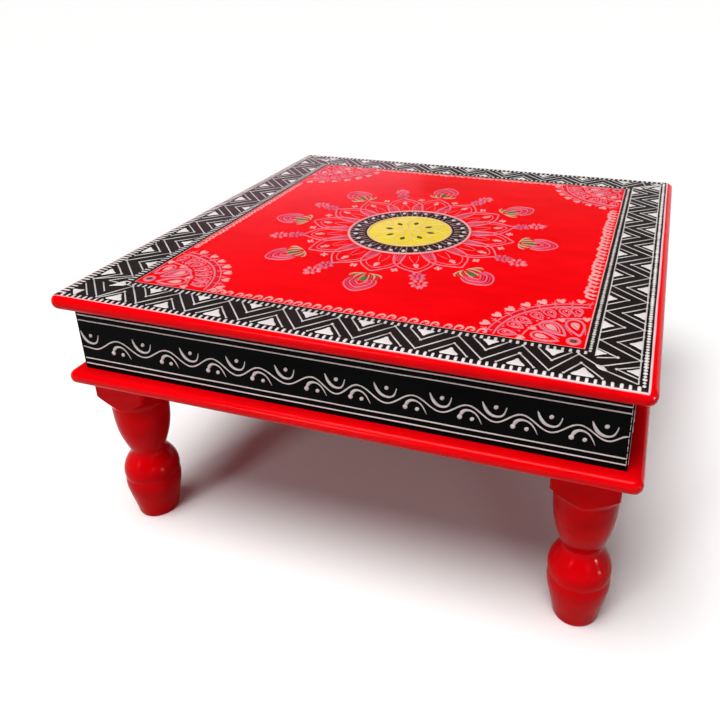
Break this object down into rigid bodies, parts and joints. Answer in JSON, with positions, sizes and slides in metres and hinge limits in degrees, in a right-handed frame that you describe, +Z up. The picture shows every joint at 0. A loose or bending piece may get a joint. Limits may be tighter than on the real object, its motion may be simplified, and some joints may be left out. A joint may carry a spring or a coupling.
{
  "type": "bajot low table",
  "caption": "Low square table for floor seating: a painted panel on a skirted box with a rounded base frame, carried by turned legs.",
  "frame": {"origin": "on the floor, under the middle of the table", "axes": "+Z up, -Y the front, +X the right-hand side seen from the front"},
  "size_m": [0.457, 0.457, 0.225],
  "materials": {
    "red_paint": "gloss enamel on wood",
    "black_paint": "gloss enamel on wood",
    "white_paint": "raised line paint",
    "yellow_paint": "raised line paint",
    "bare_wood": "planed, unpainted",
    "steel": "zinc plated"
  },
  "bodies": {
    "root": {"apron_back": "black_paint", "apron_front": "black_paint", "apron_left": "black_paint", "apron_right": "black_paint", "base_rail_back": "red_paint", "base_rail_front": "red_paint", "base_rail_left": "red_paint", "base_rail_right": "red_paint", "block_screws": "steel", "cleat_screws": "steel", "corner_block_back_left": "bare_wood", "corner_block_back_right": "bare_wood", "corner_block_front_left": "bare_wood", "corner_block_front_right": "bare_wood", "corner_dowels": "bare_wood", "leg_back_left": "red_paint", "leg_back_right": "red_paint", "leg_front_left": "red_paint", "leg_front_right": "red_paint", "rail_screws": "steel", "tenon_wedge_back_left": "bare_wood", "tenon_wedge_back_right": "bare_wood", "tenon_wedge_front_left": "bare_wood", "tenon_wedge_front_right": "bare_wood", "top_cleat_back": "bare_wood", "top_cleat_front": "bare_wood", "top_cleat_left": "bare_wood", "top_cleat_right": "bare_wood", "top_panel": "red_paint"}
  },
  "joints": []
}
